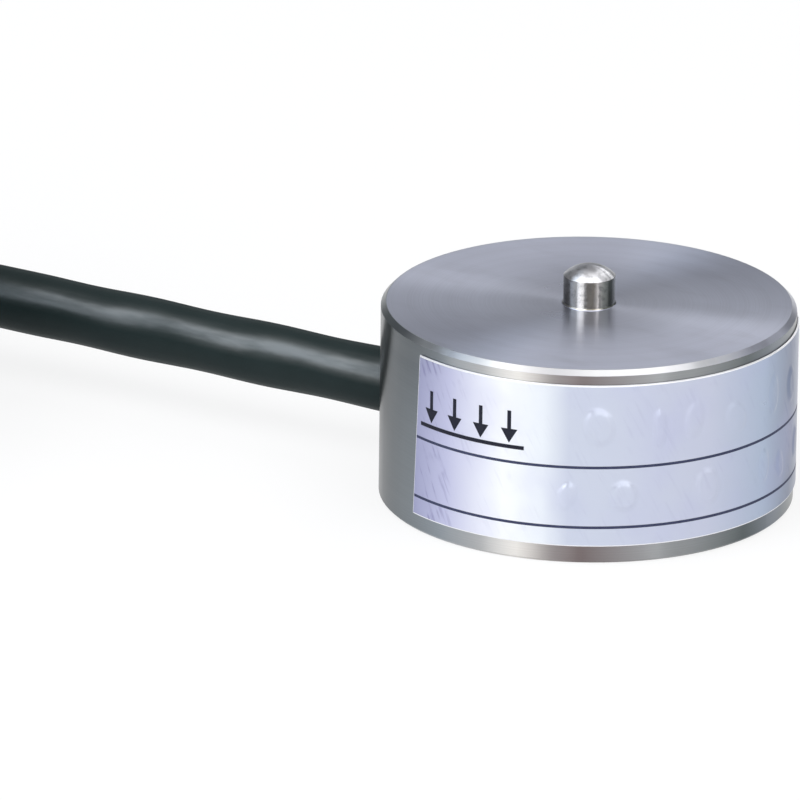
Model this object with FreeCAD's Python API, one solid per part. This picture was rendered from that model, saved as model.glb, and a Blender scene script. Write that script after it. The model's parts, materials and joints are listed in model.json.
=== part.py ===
import FreeCAD, Part
import math
import os

from FreeCAD import Vector

# Button-type compression load cell, in millimetres, +Z up.
# The origin is the centre of the base, and the cable leaves along -X.

# Body, turned in one piece with its load button
BODY_DIAMETER = 20.0
BODY_HEIGHT = 9.66
BODY_WALL = 4.0
TOP_CHAMFER = 0.24
BASE_CHAMFER = 0.12
BUTTON_DIAMETER = 2.5
BUTTON_SIDE = 1.4
BUTTON_CROWN_RADIUS = 1.75
BUTTON_ROOT_CHAMFER = 0.08

# Web that carries the button, and the chambers below it
WEB_THICKNESS = 1.5
WEB_CHAMFER = 0.35
HUB_DIAMETER = 4.4
HUB_DEPTH = 1.6
GAUGE_CHAMBER_HEIGHT = 1.2

# Tapped mounting holes in the base ring, one opposite the cable
MOUNT_HOLES = 3
MOUNT_TAP_DIAMETER = 2.05
MOUNT_DEPTH = 4.0
MOUNT_MOUTH = 0.2
DRILL_POINT = math.radians(118)

# Base cover in its recess
COVER_THICKNESS = 0.5
COVER_SETBACK = 0.2
COVER_LEDGE = 0.5
COVER_CHAMFER = 0.08

# Nameplate foil, with one end cut a little askew
LABEL_LENGTH = 40.2
LABEL_THICKNESS = 0.08
LABEL_TOP_MARGIN = 0.44
LABEL_BASE_MARGIN = 0.86
LABEL_END_SLANT = 2.8
GLUE_LINE = 0.03

# Strain gauges under the web
GAUGES = 4
GAUGE_WIDTH = 1.7
GAUGE_MARGIN = 0.1
BACKING = 0.04
FOIL = 0.02
FOIL_BORDER = 0.14
TAB_LENGTH = 0.5
TAB_WIDTH = 0.5
GRID_LINES = 5
GRID_LINE_WIDTH = 0.1

# Terminal ring board and what is soldered on it
BOARD_THICKNESS = 0.6
BOARD_LEDGE = 0.4
BOARD_PLAY = 0.05
BOARD_HUB_GAP = 0.4
PAD = 0.05
LEAD_PAD = 0.5
CORE_PAD = 1.0
CORE_PAD_INSET = 0.9
CORE_PAD_ANGLES = (20.0, 50.0)
RESISTOR_LENGTH = 1.6
RESISTOR_WIDTH = 0.8
RESISTOR_HEIGHT = 0.45
RESISTOR_CAP = 0.3
RESISTOR_CAP_LIP = 0.03
RESISTOR_ANGLES = {"span_resistor_1": 70.0, "zero_resistor": 0.0, "span_resistor_2": -70.0}
LEAD_THICKNESS = 0.06
LEAD_WIDTH = 0.26
LEAD_FOOT = 0.36
JOINT_WIDTH = 0.9
JOINT_TIP_WIDTH = 0.7
JOINT_HEIGHT = 0.3

# Cable entry
CABLE_DIAMETER = 3.1
CABLE_INSIDE = 1.2
SEAL_WALL = 0.2
SEAL_SETBACK = 0.3
FERRULE_WALL = 0.3
FERRULE_LENGTH = 0.8
CORE_DIAMETER = 0.5
CORE_PITCH = 0.84
FIT = 0.02

# Coil that the rest of the cable is put away in
COIL_CENTRE = (-51.2, -20.6)
COIL_MEAN_DIAMETER = 35.6
COIL_TURNS_ACROSS = 4
COIL_LAYERS = 4
COIL_SLACK = 0.3
COIL_EDGE = 1.2
TIE_THICKNESS = 0.5
TIE_WIDTH = 4.0
TIE_PLAY = 0.2
TIE_FLOOR_PLAY = 0.05
END_TIE_ANGLE = 335.0
PLAIN_TIE_ANGLE = 155.0
END_TIE_REACH = (16.1, 20.3)

# Corner of the notch where the cable comes in to the coil
COIL_NOTCH = (-42.0, -1.6, 5.0)

# Far end of the cable
SLEEVE_WALL = 0.3
SLEEVE_GRIP = 5.0
SLEEVE_NOSE = 3.0
TAIL_DIAMETER = 0.75
TAIL_BUNDLE_RADIUS = 0.78
TAIL_LENGTH = 10.5
TAIL_REST = 0.8
BARE_DIAMETER = 0.45
BARE_LENGTH = 3.4

# Share of the shorter run that an arc takes up at a bend
ARC_SHARE = 0.45

# Sizes that follow from the ones above
body_radius = BODY_DIAMETER / 2
wiring_radius = body_radius - BODY_WALL
chamber_radius = wiring_radius - BOARD_LEDGE
recess_radius = wiring_radius + COVER_LEDGE
hub_radius = HUB_DIAMETER / 2
button_radius = BUTTON_DIAMETER / 2
web_under = BODY_HEIGHT - WEB_THICKNESS
board_top = web_under - GAUGE_CHAMBER_HEIGHT
board_under = board_top - BOARD_THICKNESS
cover_top = COVER_SETBACK + COVER_THICKNESS
cable_radius = CABLE_DIAMETER / 2
cable_height = (cover_top + board_under) / 2
entry_radius = cable_radius + SEAL_WALL
cable_inner_end = wiring_radius - CABLE_INSIDE
ferrule_radius = cable_radius + FIT + FERRULE_WALL
mount_circle = body_radius + recess_radius
board_radius = wiring_radius - BOARD_PLAY
board_hole = hub_radius + BOARD_HUB_GAP
tab_under = web_under - BACKING - FOIL
gauge_inner = hub_radius + WEB_CHAMFER + GAUGE_MARGIN
gauge_outer = chamber_radius - WEB_CHAMFER - GAUGE_MARGIN
tab_place = gauge_outer - FOIL_BORDER - TAB_LENGTH / 2
lead_place = tab_place - LEAD_FOOT / 2
tab_side = GAUGE_WIDTH / 2 - FOIL_BORDER - TAB_WIDTH / 2
coil_base = TIE_THICKNESS + TIE_FLOOR_PLAY
coil_top = coil_base + COIL_LAYERS * CABLE_DIAMETER
coil_reach = COIL_TURNS_ACROSS * CABLE_DIAMETER / 2 + COIL_SLACK
coil_outer = COIL_MEAN_DIAMETER / 2 + coil_reach
coil_inner = COIL_MEAN_DIAMETER / 2 - coil_reach

# Route of the cable from its inner end to the coil, chosen by hand
CABLE_ROUTE = (
    (-cable_inner_end, 0.0, cable_height),
    (-19.0, 0.0, cable_height),
    (-35.0, 0.05, cable_height + 0.04),
    (-43.5, 0.8, 2.3),
)

# Route of the cable's last stretch on top of the coil, as radius, angle and height
END_ROUTE = (
    (18.2, 335.0, coil_top + 1.66),
    (17.2, 363.0, coil_top + 1.82),
    (16.3, 391.0, coil_top + 2.03),
)

# Each tail's place in the bundle, and the way it splays, in degrees
TAILS = {
    "tail_shield": (90.0, 7.0),
    "tail_white": (18.0, 21.0),
    "tail_green": (306.0, 14.0),
    "tail_black": (234.0, 0.0),
    "tail_red": (162.0, -7.0),
}
CORES = {
    "core_red": (1, 1),
    "core_white": (-1, 1),
    "core_black": (1, -1),
    "core_green": (-1, -1),
}

UP = Vector(0, 0, 1)
ORIGIN = Vector(0, 0, 0)


def at(radius, height):
    """A profile point in the plane through the axis."""
    return Vector(radius, 0, height)


def line(start, end):
    """A straight edge."""
    return Part.LineSegment(start, end).toShape()


def chain(*points):
    """Straight edges from point to point."""
    return [line(start, end) for start, end in zip(points, points[1:])]


def corner(start, centre, end):
    """A round edge about a centre, from start to end by the short way."""
    radius = (start - centre).Length
    half = (start - centre) + (end - centre)
    middle = centre + half.normalize() * radius
    return Part.Arc(start, middle, end).toShape()


def turned(edges, degrees=360):
    """A solid turned about the vertical axis from a closed profile."""
    return Part.Face(Part.Wire(edges)).revolve(ORIGIN, UP, degrees)


def about(shape, degrees, centre=ORIGIN):
    """A copy turned about a vertical axis."""
    moved = shape.copy()
    moved.rotate(centre, UP, degrees)
    return moved


def box(low, high):
    """A block between two opposite corners."""
    size = high - low
    return Part.makeBox(size.x, size.y, size.z, low)


def rod(radius, start, end):
    """A round bar from start to end."""
    return Part.makeCylinder(radius, (end - start).Length, start, end - start)


def cone(base_radius, tip_radius, base, tip):
    """A cone with its ends at base and tip."""
    return Part.makeCone(base_radius, tip_radius, (tip - base).Length, base, tip - base)


def joined(shapes):
    """One solid from pieces that meet."""
    return shapes[0].fuse(shapes[1:]).removeSplitter()


def path(points):
    """Straight runs through the points, joined by tangent arcs, and the arcs' radii."""
    edges = []
    radii = []
    start = points[0]
    for before, bend, after in zip(points, points[1:], points[2:]):
        run_in = bend - before
        run_out = after - bend
        half_turn = run_in.getAngle(run_out) / 2
        trim = ARC_SHARE * min(run_in.Length, run_out.Length)
        radius = trim / math.tan(half_turn)
        first = bend - run_in.normalize() * trim
        last = bend + run_out.normalize() * trim
        inward = (first + last) * 0.5 - bend
        middle = bend + inward.normalize() * (radius / math.cos(half_turn) - radius)
        edges.append(line(start, first))
        edges.append(Part.Arc(first, middle, last).toShape())
        radii.append(radius)
        start = last
    edges.append(line(start, points[-1]))
    return Part.Wire(edges), radii


def tube(points, diameter):
    """A round tube along a path."""
    wire, radii = path(points)
    section = Part.Circle(points[0], points[1] - points[0], diameter / 2).toShape()
    return wire.makePipe(Part.Face(Part.Wire(section)))


def around_coil(radius, degrees, height):
    """A point about the coil's centre."""
    turn = math.radians(degrees)
    x = COIL_CENTRE[0] + radius * math.cos(turn)
    y = COIL_CENTRE[1] + radius * math.sin(turn)
    return Vector(x, y, height)


def sensor_body():
    """The turned body with its button, chambers, cable entry and mounting holes."""
    crown_drop = math.sqrt(BUTTON_CROWN_RADIUS ** 2 - button_radius ** 2)
    side_top = BODY_HEIGHT + BUTTON_SIDE
    crown_centre = at(0, side_top - crown_drop)
    button_top = at(0, side_top - crown_drop + BUTTON_CROWN_RADIUS)
    button_edge = at(button_radius, side_top)
    hub_under = web_under - HUB_DEPTH
    edges = chain(
        at(0, hub_under),
        at(hub_radius, hub_under),
        at(hub_radius, web_under - WEB_CHAMFER),
        at(hub_radius + WEB_CHAMFER, web_under),
        at(chamber_radius - WEB_CHAMFER, web_under),
        at(chamber_radius, web_under - WEB_CHAMFER),
        at(chamber_radius, board_top),
        at(wiring_radius, board_top),
        at(wiring_radius, cover_top),
        at(recess_radius, cover_top),
        at(recess_radius, 0),
        at(body_radius - BASE_CHAMFER, 0),
        at(body_radius, BASE_CHAMFER),
        at(body_radius, BODY_HEIGHT - TOP_CHAMFER),
        at(body_radius - TOP_CHAMFER, BODY_HEIGHT),
        at(button_radius + BUTTON_ROOT_CHAMFER, BODY_HEIGHT),
        at(button_radius, BODY_HEIGHT + BUTTON_ROOT_CHAMFER),
        button_edge,
    )
    edges.append(corner(button_edge, crown_centre, button_top))
    edges.append(line(button_top, at(0, hub_under)))
    entry = rod(entry_radius, Vector(0, 0, cable_height), Vector(-BODY_DIAMETER, 0, cable_height))
    inside = rod(wiring_radius, ORIGIN, Vector(0, 0, BODY_HEIGHT))
    return turned(edges).cut([entry.cut(inside)] + mounting_holes())


def mounting_holes():
    """The tapped holes to cut from the base ring."""
    radius = MOUNT_TAP_DIAMETER / 2
    place = at(mount_circle / 2, 0)
    end = place + UP * MOUNT_DEPTH
    point = end + UP * (radius / math.tan(DRILL_POINT / 2))
    mouth = cone(radius + MOUNT_MOUTH, radius, place, place + UP * MOUNT_MOUTH)
    hole = joined([rod(radius, place, end), cone(radius, 0, end, point), mouth])
    return [about(hole, index * 360 / MOUNT_HOLES) for index in range(MOUNT_HOLES)]


def base_cover():
    """The disc that closes the underside."""
    radius = recess_radius - FIT
    return turned(chain(
        at(0, COVER_SETBACK),
        at(radius - COVER_CHAMFER, COVER_SETBACK),
        at(radius, COVER_SETBACK + COVER_CHAMFER),
        at(radius, cover_top),
        at(0, cover_top),
        at(0, COVER_SETBACK),
    ))


def nameplate():
    """The foil round the side, with its slanted end on the -Y side."""
    inner = body_radius + GLUE_LINE
    outer = inner + LABEL_THICKNESS
    low = LABEL_BASE_MARGIN
    high = BODY_HEIGHT - TOP_CHAMFER - LABEL_TOP_MARGIN
    span = math.degrees(LABEL_LENGTH / inner)
    start = at(inner, low)
    section = chain(start, at(outer, low), at(outer, high), at(inner, high), start)
    sheet = turned(section, span)
    knife = box(Vector(0, -BODY_HEIGHT, low - BODY_HEIGHT), Vector(BODY_DIAMETER, 0, high + BODY_HEIGHT))
    knife.rotate(at(0, low), Vector(1, 0, 0), -LABEL_END_SLANT)
    return about(sheet.cut(knife), -span / 2)


def strain_gauge(degrees):
    """A foil gauge bonded under the web, with its tabs at the outer end."""
    half = GAUGE_WIDTH / 2
    back_under = web_under - BACKING
    pieces = [box(Vector(gauge_inner, -half, back_under), Vector(gauge_outer, half, web_under))]
    tab_start = tab_place - TAB_LENGTH / 2
    for side in (-1, 1):
        low = Vector(tab_start, side * tab_side - TAB_WIDTH / 2, tab_under)
        pieces.append(box(low, low + Vector(TAB_LENGTH, TAB_WIDTH, FOIL)))
    grid_start = gauge_inner + FOIL_BORDER
    grid_width = GAUGE_WIDTH - 2 * FOIL_BORDER - GRID_LINE_WIDTH
    for index in range(GRID_LINES):
        side = grid_width * (index / (GRID_LINES - 1) - 0.5)
        low = Vector(grid_start, side - GRID_LINE_WIDTH / 2, tab_under)
        high = Vector(tab_start - FOIL_BORDER, side + GRID_LINE_WIDTH / 2, back_under)
        pieces.append(box(low, high))
    return about(joined(pieces), degrees)


def gauge_leads(degrees):
    """The two ribbon leads of one gauge, each with a foot on its tab and one on its pad."""
    inner = lead_place + LEAD_THICKNESS
    high = tab_under - LEAD_THICKNESS
    foot = board_top + PAD
    low = foot + LEAD_THICKNESS
    edges = chain(
        at(lead_place, tab_under),
        at(lead_place + LEAD_FOOT, tab_under),
        at(lead_place + LEAD_FOOT, high),
        at(inner, high),
        at(inner, foot),
        at(inner - LEAD_FOOT, foot),
        at(inner - LEAD_FOOT, low),
        at(lead_place, low),
        at(lead_place, tab_under),
    )
    ribbon = Part.Face(Part.Wire(edges)).extrude(Vector(0, LEAD_WIDTH, 0))
    pair = []
    for side in (-1, 1):
        lead = ribbon.copy()
        lead.translate(Vector(0, side * tab_side - LEAD_WIDTH / 2, 0))
        pair.append(lead)
    return about(Part.makeCompound(pair), degrees)


def core_pads():
    """Where each core is soldered under the board."""
    circle = board_hole + CORE_PAD_INSET
    places = {}
    for name, (side, level) in CORES.items():
        turn = math.radians(180 - side * CORE_PAD_ANGLES[0 if level > 0 else 1])
        places[name] = Vector(circle * math.cos(turn), circle * math.sin(turn), board_under - PAD)
    return places


def terminal_board():
    """The ring board with its copper pads."""
    ring = rod(board_radius, at(0, board_under), at(0, board_top))
    pieces = [ring.cut(rod(board_hole, at(0, board_under), at(0, board_top)))]
    half = LEAD_PAD / 2
    place = lead_place + LEAD_THICKNESS - LEAD_FOOT / 2
    for index in range(GAUGES):
        for side in (-1, 1):
            middle = Vector(place, side * tab_side, board_top)
            pad = box(middle - Vector(half, half, 0), middle + Vector(half, half, PAD))
            pieces.append(about(pad, gauge_angle(index)))
    half = CORE_PAD / 2
    for place in core_pads().values():
        pieces.append(box(place - Vector(half, half, 0), place + Vector(half, half, PAD)))
    return joined(pieces)


def chip_resistor(degrees):
    """A chip resistor under the board, lying along its circle."""
    place = (board_radius + board_hole) / 2
    half = RESISTOR_WIDTH / 2
    end = RESISTOR_LENGTH / 2
    lip = RESISTOR_CAP_LIP
    low = board_under - RESISTOR_HEIGHT
    pieces = [box(Vector(place - half, -end, low + lip), Vector(place + half, end, board_under - lip))]
    for start in (-end, end - RESISTOR_CAP):
        cap_low = Vector(place - half - lip, start, low)
        cap_high = Vector(place + half + lip, start + RESISTOR_CAP, board_under)
        pieces.append(box(cap_low, cap_high))
    return about(joined(pieces), degrees)


def gauge_angle(index):
    """The gauges sit between the cable and the board's parts."""
    return 360 / GAUGES * (index + 0.5)


def cable_core(name):
    """One core, from the sheath's end to the tip of its solder joint."""
    side, level = CORES[name]
    offset = CORE_PITCH / 2
    start = Vector(-cable_inner_end, side * offset, cable_height + level * offset)
    tip = core_pads()[name] - UP * JOINT_HEIGHT
    ahead = (tip - start).normalize() * CORE_DIAMETER
    wire = rod(CORE_DIAMETER / 2, start - ahead, tip + ahead)
    room = box(Vector(start.x, -wiring_radius, cover_top), Vector(wiring_radius, wiring_radius, tip.z))
    return wire.common(room)


def square(centre, width):
    """A level square outline."""
    half = width / 2
    sides = ((-1, -1), (1, -1), (1, 1), (-1, 1), (-1, -1))
    return Part.makePolygon([centre + Vector(x * half, y * half, 0) for x, y in sides])


def solder_joints():
    """The solder on each core's pad, drawn in towards the core."""
    joints = []
    for pad in core_pads().values():
        tip = pad - UP * JOINT_HEIGHT
        ends = [square(pad, JOINT_WIDTH), square(tip, JOINT_TIP_WIDTH)]
        joints.append(Part.makeLoft(ends, True, True))
    return Part.makeCompound(joints)


def sleeve_on_cable(inner, outer, near, far):
    """A ring round the cable's entry, between two distances from the axis."""
    start = Vector(-near, 0, cable_height)
    end = Vector(-far, 0, cable_height)
    return rod(outer, start, end).cut(rod(inner, start, end))


def cable_ferrule():
    """The sleeve crimped on the sheath, against the inside of the wall."""
    far = math.sqrt(wiring_radius ** 2 - ferrule_radius ** 2) - FIT
    return sleeve_on_cable(cable_radius + FIT, ferrule_radius, far - FERRULE_LENGTH, far)


def cable_seal():
    """The potted sleeve in the wall."""
    far = body_radius - SEAL_SETBACK
    return sleeve_on_cable(cable_radius + FIT, entry_radius - FIT, wiring_radius, far)


def cable_lead():
    """The cable from the body, cut flat where it meets the coil's notch."""
    route = [Vector(*point) for point in CABLE_ROUTE]
    end = route[-1] - Vector(CABLE_DIAMETER, CABLE_DIAMETER, CABLE_DIAMETER)
    beyond = box(end, Vector(COIL_NOTCH[0], CABLE_DIAMETER, coil_top))
    return tube(route, CABLE_DIAMETER).cut(beyond)


def cable_coil():
    """The outer shape of the coil, with its outer edges broken and the cable's notch."""
    foot = Vector(COIL_CENTRE[0], COIL_CENTRE[1], coil_base)
    head = Vector(COIL_CENTRE[0], COIL_CENTRE[1], coil_top)
    ring = rod(coil_outer, foot, head).cut(rod(coil_inner, foot, head))
    rims = [edge for edge in ring.Edges if edge.isClosed() and edge.Curve.Radius > coil_outer - FIT]
    x, y, notch_top = COIL_NOTCH
    notch = box(Vector(x, y, coil_base), Vector(x + coil_outer, y + coil_outer, notch_top))
    return ring.makeChamfer(COIL_EDGE, rims).cut(notch)


def end_points():
    """The route of the cable's last stretch."""
    return [around_coil(*point) for point in END_ROUTE]


def coil_tie(degrees, crown):
    """A band round the coil's section, raised over the cable's end where it crosses."""
    near = coil_inner - TIE_PLAY
    far = coil_outer + TIE_PLAY
    low = TIE_THICKNESS
    high = coil_top + TIE_PLAY
    points = [at(near, low), at(far, low), at(far, high)] + crown + [at(near, high), at(near, low)]
    inner = Part.makePolygon(points)
    outer = inner.makeOffset2D(TIE_THICKNESS)
    band = Part.Face(outer).cut(Part.Face(inner)).extrude(Vector(0, TIE_WIDTH, 0))
    band.translate(Vector(COIL_CENTRE[0], COIL_CENTRE[1] - TIE_WIDTH / 2, 0))
    return about(band, degrees, Vector(COIL_CENTRE[0], COIL_CENTRE[1], 0))


def end_crown():
    """The raised part of the tie that holds the cable's end down."""
    rise = END_ROUTE[0][2] + cable_radius + TIE_PLAY
    return [at(END_TIE_REACH[1], rise), at(END_TIE_REACH[0], rise)]


def sleeve_line():
    """The sheath's end, the way it points, and the tip of the sleeve's nose."""
    points = end_points()
    end = points[-1]
    ahead = (end - points[-2]).normalize()
    return end, ahead, end + ahead * SLEEVE_NOSE


def end_sleeve():
    """The shrunk tube over the sheath's end, filled at its nose where the tails come out."""
    end, ahead, nose = sleeve_line()
    back = end - ahead * SLEEVE_GRIP
    bore = cable_radius + FIT
    grip = bore + SLEEVE_WALL
    mouth = TAIL_BUNDLE_RADIUS + TAIL_DIAMETER / 2 + SLEEVE_WALL
    outside = joined([rod(grip, back, end), cone(grip, mouth, end, nose)])
    return outside.cut(rod(bore, back, end))


def tail_line(name):
    """Where one tail leaves the sleeve's nose, and its end on the coil."""
    degrees, splay = TAILS[name]
    end, ahead, nose = sleeve_line()
    side = UP.cross(ahead).normalize()
    rise = ahead.cross(side)
    turn = math.radians(degrees)
    start = nose + (side * math.cos(turn) + rise * math.sin(turn)) * TAIL_BUNDLE_RADIUS
    way = side * math.sin(math.radians(splay)) + ahead * math.cos(math.radians(splay))
    tip = start + way * TAIL_LENGTH
    return start, Vector(tip.x, tip.y, coil_top + TAIL_REST)


def cable_tail(name, sleeve):
    """One tail, from the sleeve's nose to where it is bared."""
    start, end = tail_line(name)
    back = (start - end).normalize() * TAIL_DIAMETER
    return rod(TAIL_DIAMETER / 2, start + back, end).cut(sleeve)


def conductor_ends():
    """The bared and tinned end of each core's tail."""
    bars = []
    for name in TAILS:
        if name != "tail_shield":
            start, end = tail_line(name)
            ahead = (end - start).normalize()
            bars.append(rod(BARE_DIAMETER / 2, end, end + ahead * BARE_LENGTH))
    return Part.makeCompound(bars)


def build():
    """Every node's shape by name."""
    nodes = {"sensor_body": sensor_body(), "base_cover": base_cover(), "nameplate": nameplate()}
    for index in range(GAUGES):
        nodes["strain_gauge_%d" % (index + 1)] = strain_gauge(gauge_angle(index))
        nodes["gauge_leads_%d" % (index + 1)] = gauge_leads(gauge_angle(index))
    nodes["terminal_board"] = terminal_board()
    for name, degrees in RESISTOR_ANGLES.items():
        nodes[name] = chip_resistor(degrees)
    for name in CORES:
        nodes[name] = cable_core(name)
    nodes["solder_joints"] = solder_joints()
    nodes["cable_ferrule"] = cable_ferrule()
    nodes["cable_seal"] = cable_seal()
    nodes["cable"] = cable_lead()
    nodes["cable_coil"] = cable_coil()
    nodes["cable_end"] = tube(end_points(), CABLE_DIAMETER)
    nodes["coil_tie_1"] = coil_tie(END_TIE_ANGLE, end_crown())
    nodes["coil_tie_2"] = coil_tie(PLAIN_TIE_ANGLE, [])
    sleeve = end_sleeve()
    nodes["end_sleeve"] = sleeve
    for name in TAILS:
        nodes[name] = cable_tail(name, sleeve)
    nodes["conductor_ends"] = conductor_ends()
    return nodes


def main():
    """Writes one file for each node, and prints the radii of the cable's bends."""
    os.makedirs("parts", exist_ok=True)
    for name, shape in build().items():
        shape.exportStep("parts/%s.step" % name)
        print(name, "volume %.4f" % shape.Volume, "solids %d" % len(shape.Solids), shape.isValid())
    routes = {"cable": [Vector(*point) for point in CABLE_ROUTE], "cable_end": end_points()}
    for name, points in routes.items():
        wire, radii = path(points)
        print(name, "length %.2f" % wire.Length, "radii", [round(radius, 1) for radius in radii])


main()
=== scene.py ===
import json
import math

import bmesh
import bpy
from mathutils import Matrix, Vector


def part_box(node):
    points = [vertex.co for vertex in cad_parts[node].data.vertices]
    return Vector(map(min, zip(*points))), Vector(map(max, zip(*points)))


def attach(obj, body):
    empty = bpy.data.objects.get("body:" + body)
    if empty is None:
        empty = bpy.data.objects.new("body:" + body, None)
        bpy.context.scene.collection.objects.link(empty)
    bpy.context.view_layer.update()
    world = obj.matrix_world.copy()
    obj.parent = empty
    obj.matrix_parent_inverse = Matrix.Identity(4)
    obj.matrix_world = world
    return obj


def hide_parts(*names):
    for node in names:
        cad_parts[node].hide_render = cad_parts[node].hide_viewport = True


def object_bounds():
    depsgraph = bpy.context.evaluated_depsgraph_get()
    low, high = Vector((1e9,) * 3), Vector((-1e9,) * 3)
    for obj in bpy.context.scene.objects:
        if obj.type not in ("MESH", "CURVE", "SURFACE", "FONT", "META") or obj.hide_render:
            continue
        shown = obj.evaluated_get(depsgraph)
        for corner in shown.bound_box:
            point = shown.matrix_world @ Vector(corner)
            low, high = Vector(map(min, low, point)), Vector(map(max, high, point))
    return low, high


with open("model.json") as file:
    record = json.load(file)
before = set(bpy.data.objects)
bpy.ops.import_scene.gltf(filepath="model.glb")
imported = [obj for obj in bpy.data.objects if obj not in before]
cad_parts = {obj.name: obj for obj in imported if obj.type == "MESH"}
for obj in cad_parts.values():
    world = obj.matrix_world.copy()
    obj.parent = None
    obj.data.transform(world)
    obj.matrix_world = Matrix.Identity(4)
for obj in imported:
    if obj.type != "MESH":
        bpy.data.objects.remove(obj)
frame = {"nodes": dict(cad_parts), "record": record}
cad_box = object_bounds()

MM = 0.001
UP = Vector((0, 0, 1))
QUARTER_TURN = math.radians(90)
BLACK = (0.0, 0.0, 0.0)
WHITE = (1.0, 1.0, 1.0)

# Camera, measured on the photograph
IMAGE_SIZE = 800
PHOTO_SCALE = 20.775 / MM
CAMERA_DISTANCE = 600 * MM
CAMERA_NEAREST = CAMERA_DISTANCE / 100
CAMERA_ELEVATION = math.radians(19.595)
CAMERA_TURN = math.radians(30.97)
CAMERA_ROLL = math.radians(0.728)
CAMERA_TARGET = Vector((0, 0, 5 * MM))
TARGET_PIXEL = (587.4, 393.71)
SENSOR_WIDTH = 36
FRONT = CAMERA_TURN - QUARTER_TURN

# Floor and room
FLOOR_SIZE = 4.0
FLOOR_GAP = 0.02 * MM
FLOOR_TONE = (0.82, 0.82, 0.83)
FLOOR_GLOW = 1.02
FLOOR_GLOW_SHARE = 0.80
ROOM_FADE = (0.3, 0.9)
ROOM_LOW_TONE = (0.14, 0.145, 0.15)
ROOM_HIGH_TONE = (0.34, 0.34, 0.34)

# Lamps: degrees left of the camera and up, metres away, size in metres, level and tone
LAMPS = {
    "top_softbox": (0, 73, 0.5, (0.72, 0.40), 2.0, WHITE),
    "front_softbox": (40, 20, 0.5, (0.26, 0.34), 2.3, (1.0, 0.99, 0.98)),
    "front_card": (-14, 14, 0.7, (0.66, 0.40), 1.35, WHITE),
    "right_card": (-72, 14, 0.7, (0.50, 0.40), 1.2, WHITE),
    "left_softbox": (73, 40, 0.5, (0.36, 0.30), 2.7, (0.80, 0.90, 1.0)),
    "side_strip": (-39, 20, 0.5, (0.07, 0.30), 1.5, (1.0, 0.97, 0.97)),
    "back_card": (180, 20, 0.7, (0.60, 0.40), 0.33, (0.95, 0.97, 1.0)),
    "back_softbox": (-152, 31, 0.6, (0.26, 0.16), 1.8, WHITE),
    "right_softbox": (-140, 52, 0.6, (0.26, 0.22), 1.6, WHITE),
}

# Meshes: the angles that count as an edge, the steps that round one, and how near points are joined
SHARP_ANGLE = math.radians(35)
EDGE_ANGLE = 1.0
EDGE_STEPS = 2
MERGE_DISTANCE = 0.0005 * MM

# Cable in millimetres: its points are given one by one, close to the solid tube's
CABLE_DIAMETER = 3.1
CABLE_EXIT = (-10.0, 0.0, 3.53)
CABLE_ROUTE = (
    (-4.8, 0.0, 3.53),
    (-19.0, 0.0, 3.53),
    (-31.8, 0.0, 3.57),
    (-36.0, 0.08, 3.57),
    (-40.0, 0.45, 2.2),
    (-44.2, 1.1, 2.12),
)
CABLE_SIDES = 7
PATH_STEPS = 8

# Swell of the sheath over its twisted cores, as a share of its radius, with places in millimetres
SWELL = 0.02
SWELL_TURN = math.radians(25.0)
SWELL_START = (-24.9, math.radians(67.5))
SWELL_FADE = (-35.0, -27.0)
SWELL_RUN = 0.3
SWELL_CUTS = 5

# Coil in millimetres and degrees, with the climb to the end on top of it as radius, angle and height
COIL_CENTRE = (-51.2, -20.6)
COIL_REACH = (11.3, 24.3)
COIL_MEAN_DIAMETER = 35.6
COIL_ACROSS = 4
COIL_LAYERS = 4
COIL_BASE = 0.55
COIL_TOP = COIL_BASE + COIL_LAYERS * CABLE_DIAMETER
COIL_PITCH = 3.2
COIL_START = 90.0
POINTS_PER_TURN = 12
POINTS_LEFT_OFF = 6
CROSSING = (0.58, 0.88)
CLIMB_ROUTE = ((22.9, 293.0, 12.9), (21.2, 315.0, 14.4))
END_ROUTE = (
    (18.2, 335.0, COIL_TOP + 1.66),
    (17.2, 363.0, COIL_TOP + 1.82),
    (16.3, 391.0, COIL_TOP + 2.03),
)

# Coil ties, in millimetres and degrees
TIE_THICKNESS = 0.5
TIE_WIDTH = 4.0
TIE_PLAY = 0.2
TIE_BEND = 0.6
TIE_BEND_STEPS = 4
TIE_EDGE = 0.13
TIE_RIB = 0.55
TIE_RAIL = (1.35, 1.5)
END_TIE_ANGLE = 335.0
PLAIN_TIE_ANGLE = 155.0
END_TIE_REACH = (16.1, 20.3)
END_TIE_RISE = END_ROUTE[0][2] + CABLE_DIAMETER / 2 + TIE_PLAY

# Nameplate foil: lengths along it are from its slanted end
FOIL_THICKNESS = 0.08 * MM
FOIL_LENGTH = 40.2 * MM
FOIL_SLANT = math.radians(2.8)
FOIL_SLANT_REACH = FOIL_LENGTH / 8
FOIL_COLUMNS = 400
FOIL_ROWS = 80
FOIL_EDGE = 0.075 * MM
# The foil's cut edge: bare metal of the cut, made near white as a painted highlight
FOIL_EDGE_AND_PAINTED_GLINT = ((0.93, 0.93, 0.96), 0.35, 0.3)
RULE_HEIGHTS = (4.86 * MM, 1.84 * MM)
RULE_WIDTH = 0.14 * MM
RULE_START = 0.1 * MM
INK_SLOT = 1
EDGE_SLOT = 2

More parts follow.
